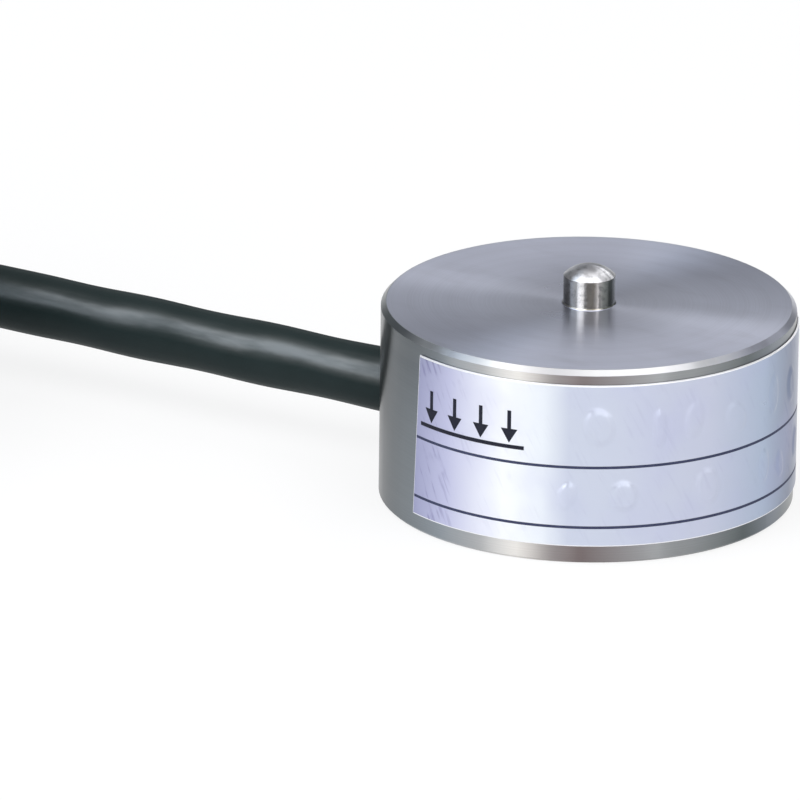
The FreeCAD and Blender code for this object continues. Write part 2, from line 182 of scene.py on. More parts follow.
# Dents in the foil: millimetres along and up, half width, half height and rise, and degrees of tilt
DENTS = (
    (10.2, 6.9, 0.80, 1.05, 0.11, 12),
    (13.1, 6.7, 0.36, 1.10, 0.08, 0),
    (14.9, 6.9, 0.55, 1.05, 0.07, -8),
    (17.4, 6.5, 0.70, 0.95, 0.07, 25),
    (20.4, 6.9, 0.45, 1.10, 0.07, 0),
    (22.6, 6.7, 0.65, 1.00, 0.08, 6),
    (27.8, 6.9, 0.55, 0.85, 0.10, -10),
    (8.7, 3.4, 0.45, 0.80, 0.08, -15),
    (11.4, 3.4, 0.75, 0.85, 0.10, 8),
    (15.7, 3.4, 0.75, 1.05, 0.09, 10),
    (19.6, 3.5, 0.45, 0.95, 0.08, 0),
    (21.2, 3.1, 0.40, 0.80, 0.06, 14),
    (23.7, 3.4, 0.55, 0.90, 0.06, -6),
)
DENT_EDGE = 0.60

# Load sign printed on the foil: arrows that press on a bar
SIGN_CENTRE = (3.62 * MM, 6.48 * MM)
SIGN_HEIGHT = 1.9 * MM
SIGN_STROKE = 0.19 * MM
SIGN_ARROWS = 4
SIGN_PITCH = 1.5 * MM
SIGN_BAR_STEPS = 24
ARROW_HEAD = (0.42 * MM, 0.7 * MM)
INK_HEIGHT = 0.012 * MM

# Body, and the heights and radii over which one of its finishes passes into the next
BODY_HEIGHT = 9.66 * MM
BUTTON_SIDE_TOP = BODY_HEIGHT + 1.4 * MM
BUTTON_TOP = BODY_HEIGHT + 1.9 * MM
FACE_START = (BODY_HEIGHT - 0.25 * MM, BODY_HEIGHT - 0.23 * MM)
BUTTON_START = (BODY_HEIGHT + 0.02 * MM, BODY_HEIGHT + 0.04 * MM)
CROWN_START = (BUTTON_SIDE_TOP - 0.01 * MM, BUTTON_SIDE_TOP + 0.02 * MM)
SUMMIT_START = (BUTTON_SIDE_TOP + 0.28 * MM, BUTTON_TOP)
RIM_START = (9.72 * MM, 9.75 * MM)
INNER_FADE = (1.5 * MM, 6.0 * MM)
POLISH_FADE = (2.5 * MM, 8.0 * MM)
# The wall's upper strip is lightened towards white between these heights: a painted highlight
PAINTED_HIGHLIGHT_HEIGHTS = (8.0 * MM, 9.0 * MM)
PAINTED_HIGHLIGHT_SHARE = 0.04

# Tones of the turned steel and the foil, in rows by share of a turn from the cable's side: most rows are
# painted reflections, highlights and shade over the metal's own tone
TOP_TONE = (0.58, 0.602, 0.715)
INNER_TONE = (0.50, 0.515, 0.61)
# The crown's tone passes into a darker tone at its summit: painted shade
CROWN_TONE = (0.74, 0.74, 0.77)
SUMMIT_PAINTED_SHADE = (0.44, 0.44, 0.47)
# Painted reflections on the chamfered rim, with two near-white painted highlights, by share of a turn
RIM_PAINTED_REFLECTIONS = (
    (0.00, (0.40, 0.40, 0.40)),
    (0.12, (0.25, 0.28, 0.30)),
    (0.16, (0.40, 0.44, 0.48)),
    (0.19, (0.86, 0.91, 0.96)),
    (0.22, (0.32, 0.33, 0.36)),
    (0.26, (0.50, 0.49, 0.48)),
    (0.31, (0.45, 0.45, 0.47)),
    (0.34, (0.59, 0.59, 0.60)),
    (0.40, (0.61, 0.61, 0.63)),
    (0.43, (0.92, 0.94, 0.98)),
    (0.47, (0.60, 0.62, 0.72)),
    (0.54, (0.55, 0.57, 0.68)),
    (0.75, (0.60, 0.60, 0.60)),
    (0.88, (0.46, 0.46, 0.46)),
    (1.00, (0.40, 0.40, 0.40)),
)
# Painted reflections on the button's side: bright and dark strips by share of a turn
BUTTON_PAINTED_REFLECTIONS = (
    (0.00, (0.55, 0.55, 0.53)),
    (0.12, (0.36, 0.36, 0.36)),
    (0.19, (0.40, 0.39, 0.37)),
    (0.25, (0.35, 0.33, 0.29)),
    (0.275, (0.76, 0.74, 0.68)),
    (0.30, (0.76, 0.74, 0.67)),
    (0.322, (0.21, 0.195, 0.165)),
    (0.36, (0.21, 0.19, 0.16)),
    (0.388, (0.56, 0.53, 0.48)),
    (0.425, (0.29, 0.30, 0.265)),
    (0.475, (0.15, 0.165, 0.15)),
    (0.56, (0.17, 0.18, 0.17)),
    (0.70, (0.55, 0.55, 0.54)),
    (0.84, (0.40, 0.40, 0.39)),
    (1.00, (0.55, 0.55, 0.53)),
)
# Painted reflections on the wall: light and dark streaks of the studio over the steel's own tone, by
# share of a turn
WALL_PAINTED_REFLECTIONS = (
    (0.00, (0.20, 0.21, 0.22)),
    (0.06, (0.10, 0.11, 0.12)),
    (0.12, (0.06, 0.07, 0.08)),
    (0.165, (0.21, 0.235, 0.255)),
    (0.21, (0.31, 0.345, 0.38)),
    (0.25, (0.47, 0.475, 0.48)),
    (0.28, (0.74, 0.72, 0.69)),
    (0.31, (0.34, 0.31, 0.31)),
    (0.33, (0.19, 0.155, 0.155)),
    (0.39, (0.35, 0.36, 0.37)),
    (0.47, (0.12, 0.14, 0.145)),
    (0.51, (0.22, 0.245, 0.28)),
    (0.56, (0.20, 0.21, 0.21)),
    (0.70, (0.44, 0.45, 0.46)),
    (0.84, (0.30, 0.31, 0.32)),
    (0.95, (0.42, 0.43, 0.45)),
    (1.00, (0.20, 0.21, 0.22)),
)
# The foil's tint along it, with a painted highlight near its slanted end and painted shade further on
FOIL_TINT_AND_PAINTED_SHEEN = (
    (0.18, (0.31, 0.32, 0.50)),
    (0.22, (0.51, 0.52, 0.71)),
    (0.27, (0.91, 0.93, 0.97)),
    (0.30, (0.79, 0.83, 0.88)),
    (0.32, (0.57, 0.61, 0.72)),
    (0.43, (0.53, 0.56, 0.68)),
    (0.49, (0.39, 0.46, 0.59)),
    (0.54, (0.15, 0.18, 0.27)),
    (0.69, (0.60, 0.64, 0.76)),
    (0.82, (0.52, 0.55, 0.70)),
)

# Lathe lines in steel: their number in a metre, their tone, and the stretch of the gloss across them
LATHE_LINES = 16000
LATHE_BANDS = 1500
FINE_LINE_SHARE = 0.6
BROAD_LINE_SHARE = 0.4
LINE_RANGE = (0.35, 0.65)
LINE_SHARE = 0.06
GLOSS_STRETCH = 0.9
GLOSS_TURN = 0.25
LATHE_BUMP = (0.03, 0.004 * MM)

# Grit on the button, smears on the top and the gloss of the body
STEEL_CLOUD = 260
GRIT_SCALE = 4200
GRIT_RANGE = (0.45, 0.70)
GRIT_SHARE = 0.35
GRIT_SHIFT = 0.03
GRIT_TONE = (0.10, 0.10, 0.10)
SMEAR_SCALES = (260, 700, 700)
SMEAR_RANGE = (0.5, 0.75)
SMEAR_SHARE = 0.12
SMEAR_TONE = (0.20, 0.20, 0.24)
WALL_ROUGHNESS = 0.30
FACE_ROUGHER = 0.08
INNER_SMOOTHER = 0.10
BUTTON_SMOOTHER = 0.13
CROWN_ROUGHER = 0.05
RIM_SMOOTHER = 0.08
STEEL_UNEVEN = 0.06

# Base cover
COVER_TONE = (0.52, 0.53, 0.55)
COVER_SHADE = 0.9
COVER_LINES = 6000
COVER_BANDS = COVER_LINES / 9
COVER_LINE_RANGE = (0.3, 0.7)
COVER_ROUGHNESS = 0.34
COVER_LINE_UNEVEN = 0.10
COVER_UNEVEN = 0.08
COVER_GLOSS_STRETCH = 0.3
COVER_BUMP = (0.12, 0.006 * MM)

# Gloss of the foil, its stains, and its slanted scratches, which show most near its slanted end
FOIL_METAL = 0.6
FOIL_ROUGHNESS = 0.29
FOIL_UNEVEN = 0.08
FOIL_END = (0.19, 0.25)
FOIL_BUMP = (0.08, 0.01 * MM)
STAIN_SCALE = 220
STAIN_RANGE = (0.45, 0.75)
STAIN_SHARE = 0.22
STAIN_HEIGHT = 0.6
STAIN_TONE = (0.42, 0.42, 0.70)
SCRATCH_SLANT = 0.5
SCRATCH_SCALES = (4200, 420)
SCRATCH_RANGE = (0.52, 0.66)
SCRATCH_SHARE = 0.05
SCRATCH_END_SHARE = 0.42
SCRATCH_ROUGHER = 0.08
SCRATCH_TONE = (0.14, 0.13, 0.32)
PATCH_SCALE = 900
PATCH_RANGE = (0.42, 0.60)

# Inks of the ruled lines and the sign
RULE_INK = (0.030, 0.035, 0.072)
SIGN_INK = (0.008, 0.009, 0.018)
INK_CLOUD = 2600
INK_PALER = (1.5, 0.01)
INK_ROUGHNESS = 0.52
INK_UNEVEN = 0.12
INK_SPECULAR = 0.15

# Sheath, and the rubbed coat on its upper side, by how far the surface faces up
SHEATH_DARK = (0.011, 0.019, 0.019)
SHEATH_PALE = (0.018, 0.028, 0.029)
SHEATH_ROUGHNESS = 0.45
SHEATH_SPECULAR = 0.1
SHEATH_BUMP = (0.30, 0.02 * MM)
SHEATH_CLOUD = 420
CLOUD_HEIGHT = 3.5
GRAIN_SCALE = 9000
GRAIN_HEIGHT = 0.9
GRAIN_ROUGHER = 0.08
WEAR_SCALES = (320, 1500, 1500)
WEAR_RANGE = (0.32, 0.68)
RUBBED_FROM = (0.1, 0.45)
RUBBED_UNTIL = (0.65, 1.0)
COAT_SHARE = 0.45
COAT_WEAR_SHARE = 0.55
COAT_ROUGHNESS = 0.35
COAT_IOR = 1.95

# Ribbed plastic of the ties
TIE_DARK = (0.42, 0.42, 0.40)
TIE_PALE = (0.66, 0.66, 0.63)
TIE_CLOUD = 700
TIE_CLOUD_SHARE = 0.6
TIE_RIB_SHARE = 0.25
TIE_SHADE = 0.25
TIE_FLAT = (0.5, 0.7)
TIE_ROUGHNESS = 0.40
TIE_UNEVEN = 0.16
TIE_BUMP = (0.6, 0.07 * MM)

# Plain finishes: their cloud and grain, and the roughness and metal of each of the record's slots
PLAIN_CLOUD = 900
PLAIN_GRAIN = 8100
PLAIN_SHADE = 0.82
PLAIN_CLOUD_UNEVEN = 0.12
PLAIN_GRAIN_UNEVEN = 0.06
PLAIN_BUMP = (0.15, 0.02 * MM)
PLAIN_SLOTS = {
    "gauge_film": (0.3, 0.0),
    "lead_copper": (0.28, 1.0),
    "board_laminate": (0.45, 0.0),
    "resistor_ceramic": (0.4, 0.0),
    "solder": (0.25, 1.0),
    "ferrule_brass": (0.3, 1.0),
    "seal_potting": (0.5, 0.0),
    "insulation_red": (0.35, 0.0),
    "insulation_white": (0.35, 0.0),
    "insulation_black": (0.35, 0.0),
    "insulation_green": (0.35, 0.0),
    "tinned_copper": (0.35, 1.0),
    "shrink_tube": (0.48, 0.0),
}

# Places of a Mix node's colour sockets, whose names its other kinds share
MIX_FACTOR = 0
MIX_FIRST = 6
MIX_SECOND = 7
MIX_RESULT = 2


class Value:
    """A socket of a material's nodes, with Python's operators on it."""

    def __init__(self, finish, socket):
        self.finish = finish
        self.socket = socket

    def math(self, operation, *others):
        """A Math node on this value and the others."""
        inputs = dict(enumerate((self, *others)))
        return self.finish.node("ShaderNodeMath", {"operation": operation}, inputs)

    def __add__(self, other):
        return self.math("ADD", other)

    def __radd__(self, other):
        return self.math("ADD", other)

    def __mul__(self, other):
        return self.math("MULTIPLY", other)

    def __rmul__(self, other):
        return self.math("MULTIPLY", other)

    def __sub__(self, other):
        return self.math("SUBTRACT", other)

    def __rsub__(self, other):
        return self.math("MULTIPLY", -1.0).math("ADD", other)

    def __truediv__(self, other):
        return self.math("DIVIDE", other)

    def __pow__(self, other):
        return self.math("POWER", other)


class Finish:
    """One node tree while it is made."""

    def __init__(self, tree):
        self.tree = tree
        self.tree.nodes.clear()

    def node(self, kind, settings, inputs, output=0):
        """A node with its settings, its inputs' values or links, and the output to use."""
        made = self.tree.nodes.new(kind)
        for name, setting in settings.items():
            if name == "stops":
                self.stops(made.color_ramp, setting)
            else:
                setattr(made, name, setting)
        for key, value in inputs.items():
            if isinstance(value, Value):
                self.tree.links.new(value.socket, made.inputs[key])
            else:
                made.inputs[key].default_value = value
        return Value(self, made.outputs[output]) if made.outputs else None

    def stops(self, ramp, stops):
        """Sets a ramp's stops, each a position and a colour."""
        while len(ramp.elements) < len(stops):
            ramp.elements.new(0.5)
        for element, (position, tone) in zip(ramp.elements, stops):
            element.position = position
            element.color = colour(tone)

    def place(self):
        """The point on the piece, in metres."""
        return self.node("ShaderNodeTexCoord", {}, {}, "Object")

    def axes(self, vector):
        """The three numbers of a vector."""
        first = self.node("ShaderNodeSeparateXYZ", {}, {0: vector})
        return [Value(self, socket) for socket in first.socket.node.outputs]

    def lift(self):
        """How far the surface faces up, from -1 to 1."""
        return self.axes(self.node("ShaderNodeNewGeometry", {}, {}, "Normal"))[2]

    def noise(self, vector, scale, detail=3.0):
        """Smooth noise from 0 to 1."""
        inputs = {"Vector": vector, "Scale": scale, "Detail": detail}
        return self.node("ShaderNodeTexNoise", {}, inputs)

    def streaks(self, number, scale):
        """Noise along one number, for fine lines."""
        inputs = {"W": number, "Scale": scale}
        return self.node("ShaderNodeTexNoise", {"noise_dimensions": "1D"}, inputs)

    def stretched(self, vector, scales):
        """The vector with its axes scaled."""
        return self.node("ShaderNodeVectorMath", {"operation": "MULTIPLY"}, {0: vector, 1: scales})

    def off_axis(self, x, y):
        """The distance from the load axis."""
        return (x * x + y * y) ** 0.5

    def around(self, x, y):
        """The share of a turn about the load axis, from the cable's side."""
        return y.math("ARCTAN2", x) / (2 * math.pi) + 0.5

    def ramp(self, share, stops):
        """A colour along a row of stops."""
        return self.node("ShaderNodeValToRGB", {"stops": stops}, {0: share})

    def between(self, number, low, high):
        """A smooth step from 0 at low to 1 at high."""
        inputs = {"Value": number, "From Min": low, "From Max": high}
        return self.node("ShaderNodeMapRange", {"interpolation_type": "SMOOTHSTEP"}, inputs)

    def blend(self, share, first, second):
        """A mix of two colours."""
        inputs = {MIX_FACTOR: share, MIX_FIRST: colour(first), MIX_SECOND: colour(second)}
        return self.node("ShaderNodeMix", {"data_type": "RGBA"}, inputs, MIX_RESULT)

    def bump(self, height, strength, distance):
        """A bumped normal."""
        inputs = {"Height": height, "Strength": strength, "Distance": distance}
        return self.node("ShaderNodeBump", {}, inputs)

    def surface(self, inputs):
        """The shader and the material's output."""
        shader = self.node("ShaderNodeBsdfPrincipled", {}, inputs)
        self.node("ShaderNodeOutputMaterial", {}, {"Surface": shader})


def colour(value):
    """A colour with its alpha, or a link as it is."""
    return value if isinstance(value, Value) else (*value, 1)


def swing(noise, reach):
    """Noise from 0 to 1 as a change that goes both ways."""
    return (noise - 0.5) * reach


def new_finish(name):
    """A new material and its tree."""
    material = bpy.data.materials.new(name)
    material.use_nodes = True
    return material, Finish(material.node_tree)


def body_finish():
    """Turned steel: a wall streaked with painted reflections and a painted highlight on its upper strip,
    a finely faced top, a rim and a smoother button with painted reflections, and painted shade on the
    button's summit.
    """
    material, finish = new_finish("turned_steel")
    place = finish.place()
    x, y, z = finish.axes(place)
    radius = finish.off_axis(x, y)
    share = finish.around(x, y)
    fine = finish.streaks(radius + z, LATHE_LINES)
    broad = finish.streaks(radius + z, LATHE_BANDS)
    cloud = finish.noise(place, STEEL_CLOUD)
    grit = finish.noise(place, GRIT_SCALE)
    smears = finish.noise(finish.stretched(place, SMEAR_SCALES), 1.0)
    face = finish.between(z, *FACE_START)
    button = finish.between(z, *BUTTON_START)
    crown = finish.between(z, *CROWN_START)
    rim = finish.between(radius, *RIM_START) * face
    # The wall's tone round it is painted reflection streaks
    wall = finish.ramp(share, WALL_PAINTED_REFLECTIONS)
    # A painted highlight lightens the wall's upper strip
    wall = finish.blend(finish.between(z, *PAINTED_HIGHLIGHT_HEIGHTS) * PAINTED_HIGHLIGHT_SHARE, wall, WHITE)
    top = finish.blend(finish.between(radius, *INNER_FADE), INNER_TONE, TOP_TONE)
    base = finish.blend(face, wall, top)
    ragged = share + swing(grit, GRIT_SHIFT)
    # The button's tone round it is painted reflection strips, with ragged edges
    base = finish.blend(button, base, finish.ramp(ragged, BUTTON_PAINTED_REFLECTIONS))
    # The crown darkens towards its summit: painted shade
    dome = finish.blend(finish.between(z, *SUMMIT_START), CROWN_TONE, SUMMIT_PAINTED_SHADE)
    base = finish.blend(crown, base, dome)
    base = finish.blend(button * finish.between(grit, *GRIT_RANGE) * GRIT_SHARE, base, GRIT_TONE)
    # The rim's tone round it is painted reflections and highlights
    base = finish.blend(rim, base, finish.ramp(share, RIM_PAINTED_REFLECTIONS))
    lines = finish.between(fine * FINE_LINE_SHARE + broad * BROAD_LINE_SHARE, *LINE_RANGE)
    base = finish.blend(lines * LINE_SHARE, base, BLACK)
    base = finish.blend(finish.between(smears, *SMEAR_RANGE) * face * SMEAR_SHARE, base, SMEAR_TONE)
    inner = face * (1 - button) * (1 - finish.between(radius, *POLISH_FADE))
    rough = WALL_ROUGHNESS + face * FACE_ROUGHER - inner * INNER_SMOOTHER - button * BUTTON_SMOOTHER
    rough = rough + crown * CROWN_ROUGHER - rim * RIM_SMOOTHER + swing(cloud, STEEL_UNEVEN)
    finish.surface({
        "Base Color": base,
        "Metallic": 1.0,
        "Roughness": rough,
        "Anisotropic": GLOSS_STRETCH,
        "Anisotropic Rotation": GLOSS_TURN,
        "Normal": finish.bump(fine, *LATHE_BUMP),
    })
    return material


def cover_finish():
    """Steel sheet with lathe lines about the load axis."""
    material, finish = new_finish("cover_steel")
    place = finish.place()
    x, y, z = finish.axes(place)
    across = finish.off_axis(x, y) + z
    fine = finish.streaks(across, COVER_LINES)
    broad = finish.streaks(across, COVER_BANDS)
    cloud = finish.noise(place, STEEL_CLOUD)
    lines = finish.between(fine * FINE_LINE_SHARE + broad * BROAD_LINE_SHARE, *COVER_LINE_RANGE)
    darker = [part * COVER_SHADE for part in COVER_TONE]
    finish.surface({
        "Base Color": finish.blend(lines, darker, COVER_TONE),
        "Metallic": 1.0,
        "Roughness": COVER_ROUGHNESS + swing(fine, COVER_LINE_UNEVEN) + swing(cloud, COVER_UNEVEN),
        "Anisotropic": COVER_GLOSS_STRETCH,
        "Anisotropic Rotation": GLOSS_TURN,
        "Normal": finish.bump(fine, *COVER_BUMP),
    })
    return material


def foil_finish():
    """Satin metal foil whose tint and painted sheen drift along it, with slanted scratches near its end.
    """
    material, finish = new_finish("label_foil")
    place = finish.place()
    x, y, z = finish.axes(place)
    cloud = finish.noise(place, STAIN_SCALE)
    share = finish.around(x, y)
    slant = share * (2 * math.pi * foil_radius()) + z * SCRATCH_SLANT
    along, up = SCRATCH_SCALES
    across = finish.node("ShaderNodeCombineXYZ", {}, {0: slant * along, 1: z * up})
    scratch = finish.between(finish.noise(across, 1.0), *SCRATCH_RANGE)
    marks = scratch * finish.between(finish.noise(place, PATCH_SCALE, 2.0), *PATCH_RANGE)
    near_end = 1 - finish.between(share, *FOIL_END)
    # The foil's tone along it is its tint with a painted highlight and painted shade
    sheen = finish.ramp(share, FOIL_TINT_AND_PAINTED_SHEEN)
    base = finish.blend(finish.between(cloud, *STAIN_RANGE) * STAIN_SHARE, sheen, STAIN_TONE)
    base = finish.blend(marks * (SCRATCH_SHARE + near_end * SCRATCH_END_SHARE), base, SCRATCH_TONE)
    finish.surface({
        "Base Color": base,
        "Metallic": FOIL_METAL,
        "Roughness": FOIL_ROUGHNESS + swing(cloud, FOIL_UNEVEN) + marks * SCRATCH_ROUGHER,
        "Normal": finish.bump(marks + cloud * STAIN_HEIGHT, *FOIL_BUMP),
    })
    return material


def ink_finish(name, tone):
    """Printed ink, a little paler in places."""
    material, finish = new_finish(name)
    cloud = finish.noise(finish.place(), INK_CLOUD, 2.0)
    times, more = INK_PALER
    paler = [part * times + more for part in tone]
    finish.surface({
        "Base Color": finish.blend(cloud, tone, paler),
        "Roughness": INK_ROUGHNESS + cloud * INK_UNEVEN,
        "Specular IOR Level": INK_SPECULAR,
    })
    return material


def sheath_finish():
    """Satin black sheath with a fine moulded grain, shinier where hands rub its upper side."""
    material, finish = new_finish("cable_sheath")
    place = finish.place()
    grain = finish.noise(place, GRAIN_SCALE)
    cloud = finish.noise(place, SHEATH_CLOUD)
    wear = finish.between(finish.noise(finish.stretched(place, WEAR_SCALES), 1.0), *WEAR_RANGE)
    lift = finish.lift()
    rubbed = finish.between(lift, *RUBBED_FROM) * (1 - finish.between(lift, *RUBBED_UNTIL))
    finish.surface({
        "Base Color": finish.blend(cloud, SHEATH_DARK, SHEATH_PALE),
        "Roughness": SHEATH_ROUGHNESS + grain * GRAIN_ROUGHER,
        "Specular IOR Level": SHEATH_SPECULAR,
        "Coat Weight": rubbed * (COAT_SHARE + wear * COAT_WEAR_SHARE),
        "Coat Roughness": COAT_ROUGHNESS,
        "Coat IOR": COAT_IOR,
        "Normal": finish.bump(grain * GRAIN_HEIGHT + cloud * CLOUD_HEIGHT, *SHEATH_BUMP),
    })
    return material


def tie_finish():
    """A pale plastic strip with fine ribs across its middle and plain rails at its sides."""
    material, finish = new_finish("tie_plastic")
    place = finish.place()
    x, y, z = finish.axes(place)
    side = x - COIL_CENTRE[0] * MM
    depth = y - COIL_CENTRE[1] * MM
    turn = math.radians(END_TIE_ANGLE)
    out = side * math.cos(turn) + depth * math.sin(turn)
    across = (depth * math.cos(turn) - side * math.sin(turn)).math("ABSOLUTE")
    flat = finish.between(finish.lift().math("ABSOLUTE"), *TIE_FLAT)
    run = z + (out - z) * flat
    rails = finish.between(across, TIE_RAIL[0] * MM, TIE_RAIL[1] * MM)
    ribs = (run * (2 * math.pi / (TIE_RIB * MM))).math("SINE") * (1 - rails)
    cloud = finish.noise(place, TIE_CLOUD)
    shade = cloud * TIE_CLOUD_SHARE + ribs * TIE_RIB_SHARE + TIE_SHADE
    finish.surface({
        "Base Color": finish.blend(shade, TIE_DARK, TIE_PALE),
        "Roughness": TIE_ROUGHNESS + swing(cloud, TIE_UNEVEN),
        "Normal": finish.bump(ribs, *TIE_BUMP),
    })
    return material


def plain_finish(name, tone, roughness, metal):
    """A finish with a faint cloud in its colour and gloss, and a fine grain."""
    material, finish = new_finish(name)
    place = finish.place()
    cloud = finish.noise(place, PLAIN_CLOUD)
    fine = finish.noise(place, PLAIN_GRAIN, 2.0)
    darker = [part * PLAIN_SHADE for part in tone]
    finish.surface({
        "Base Color": finish.blend(cloud, darker, tone),
        "Metallic": metal,
        "Roughness": roughness + swing(cloud, PLAIN_CLOUD_UNEVEN) + swing(fine, PLAIN_GRAIN_UNEVEN),
        "Normal": finish.bump(fine, *PLAIN_BUMP),
    })
    return material


def dress_cad():
    """Materials of the CAD nodes that stay as they are, by their slots in the record."""
    record = frame["record"]
    tones = {row["slot"]: row["base_color"] for row in record["materials"]}
    finishes = {"turned_steel": body_finish(), "cover_steel": cover_finish()}
    for slot, gloss in PLAIN_SLOTS.items():
        finishes[slot] = plain_finish(slot, tones[slot], *gloss)
    for row in record["subparts"]:
        if row["material_slot"] in finishes:
            materials = frame["nodes"][row["node"]].data.materials
            materials.clear()
            materials.append(finishes[row["material_slot"]])


def link(name, data, *materials):
    """A new object in the scene for its data, with the materials that go on it."""
    piece = bpy.data.objects.new(name, data)
    for material in materials:
        data.materials.append(material)
    bpy.context.scene.collection.objects.link(piece)
    return piece


def finished(shape, name, *materials):
    """A smooth mesh object of a finished bmesh, with its faces outward."""
    bmesh.ops.remove_doubles(shape, verts=shape.verts, dist=MERGE_DISTANCE)
    bmesh.ops.recalc_face_normals(shape, faces=shape.faces)
    for face in shape.faces:
        face.smooth = True
    mesh = bpy.data.meshes.new(name)
    shape.to_mesh(mesh)
    shape.free()
    mesh.set_sharp_from_angle(angle=SHARP_ANGLE)
    return link(name, mesh, *materials)


def thicken(shape, height):
    """Gives a flat sheet a thickness."""
    made = bmesh.ops.extrude_face_region(shape, geom=shape.faces[:])["geom"]
    moved = [part for part in made if isinstance(part, bmesh.types.BMVert)]
    bmesh.ops.translate(shape, vec=(0, 0, height), verts=moved)


def smooth_step(number, low, high):
    """From 0 at low to 1 at high, with no corner."""
    share = min(max((number - low) / (high - low), 0), 1)
    return share * share * (3 - 2 * share)


def make_camera():
    """The camera where the photograph was taken from."""
    right = Vector((math.cos(CAMERA_TURN), math.sin(CAMERA_TURN), 0))
    away = UP.cross(right)
    ahead = away * math.cos(CAMERA_ELEVATION) - UP * math.sin(CAMERA_ELEVATION)
    upward = right.cross(ahead)
    side = right * math.cos(CAMERA_ROLL) + upward * math.sin(CAMERA_ROLL)
    top = upward * math.cos(CAMERA_ROLL) - right * math.sin(CAMERA_ROLL)
    across = (TARGET_PIXEL[0] - IMAGE_SIZE / 2) / PHOTO_SCALE
    along = (IMAGE_SIZE / 2 - TARGET_PIXEL[1]) / PHOTO_SCALE
    data = bpy.data.cameras.new("camera")
    data.sensor_width = SENSOR_WIDTH
    data.lens = SENSOR_WIDTH * PHOTO_SCALE * CAMERA_DISTANCE / IMAGE_SIZE
    data.clip_start = CAMERA_NEAREST
    camera = link("camera", data)
    turn = Matrix((side, top, -ahead)).transposed().to_4x4()
    place = CAMERA_TARGET - ahead * CAMERA_DISTANCE - side * across - top * along
    camera.matrix_world = Matrix.Translation(place) @ turn
    bpy.context.scene.camera = camera


def make_world():
    """A grey room round the lamps, dim low down and paler overhead."""
    world = bpy.data.worlds.new("studio")
    bpy.context.scene.world = world
    world.use_nodes = True
    finish = Finish(world.node_tree)
    way = finish.node("ShaderNodeTexCoord", {}, {}, "Generated")
    height = finish.between(finish.axes(way)[2], *ROOM_FADE)
    tone = finish.blend(height, ROOM_LOW_TONE, ROOM_HIGH_TONE)
    room = finish.node("ShaderNodeBackground", {}, {"Color": tone})
    finish.node("ShaderNodeOutputWorld", {}, {"Surface": room})


def add_lamp(name, turn, elevation, distance, size, level, tone):
    """An area lamp that looks at the cell, whose level is how bright it is to look at."""
    data = bpy.data.lights.new(name, "AREA")
    data.shape = "RECTANGLE"
    data.size, data.size_y = size
    data.energy = level * math.pi * size[0] * size[1]
    data.color = tone
    lamp = link(name, data)
    angle = FRONT - math.radians(turn)
    rise = math.radians(elevation)
    level_way = Vector((math.cos(angle), math.sin(angle), 0))
    way = level_way * math.cos(rise) + UP * math.sin(rise)
    lamp.location = CAMERA_TARGET + way * distance
    lamp.rotation_euler = (-way).to_track_quat("-Z", "Y").to_euler()


def make_lights():
    """Soft studio light: one box above, five round the front and three behind."""
    for name, lamp in LAMPS.items():
        add_lamp(name, *lamp)


def let_past(lamp_name, *pieces):
    """Lets a lamp's light past pieces that would stand in its way."""
    past = bpy.data.collections.new(lamp_name + "_past")
    for piece in pieces:
        past.objects.link(piece)
    for member in past.collection_objects:
        member.light_linking.link_state = "EXCLUDE"
    bpy.data.objects[lamp_name].light_linking.blocker_collection = past


def floor_finish():
    """A pale floor that the camera and the metal see as white, with the object's shadow on it."""
    material, finish = new_finish("studio_floor")
    plain = finish.node("ShaderNodeBsdfDiffuse", {}, {"Color": colour(FLOOR_TONE)})
    glow = finish.node("ShaderNodeEmission", {}, {"Color": colour(WHITE), "Strength": FLOOR_GLOW})
    shown = finish.node("ShaderNodeMixShader", {}, {0: FLOOR_GLOW_SHARE, 1: plain, 2: glow})
    rays = finish.node("ShaderNodeLightPath", {}, {}).socket.node.outputs
    kinds = ("Is Camera Ray", "Is Glossy Ray", "Is Transmission Ray")
    camera, glossy, through = [Value(finish, rays[kind]) for kind in kinds]
    seen = camera.math("MAXIMUM", glossy).math("MAXIMUM", through)
    mixed = finish.node("ShaderNodeMixShader", {}, {0: seen, 1: plain, 2: shown})
    finish.node("ShaderNodeOutputMaterial", {}, {"Surface": mixed})
    return material


def make_floor():
    """The floor that the cell stands on."""
    shape = bmesh.new()
    bmesh.ops.create_grid(shape, x_segments=1, y_segments=1, size=FLOOR_SIZE / 2)
    bmesh.ops.translate(shape, vec=(0, 0, cad_box[0].z - FLOOR_GAP), verts=shape.verts)
    floor = finished(shape, "studio_floor", floor_finish())


def coil_ring(number):
    """The radius and height of one turn, counted from the cable's start."""
    layer, place = divmod(number, COIL_ACROSS)
    column = place if layer % 2 == 0 else COIL_ACROSS - 1 - place
    middle = (COIL_ACROSS - 1) / 2
    radius = COIL_MEAN_DIAMETER / 2 + COIL_PITCH * (middle - column)
    return radius, COIL_BASE + CABLE_DIAMETER * (layer + 0.5)


def around_coil(radius, degrees, height):
    """A point about the coil's centre."""
    turn = math.radians(degrees)
    x = COIL_CENTRE[0] + radius * math.cos(turn)
    y = COIL_CENTRE[1] + radius * math.sin(turn)
    return x, y, height


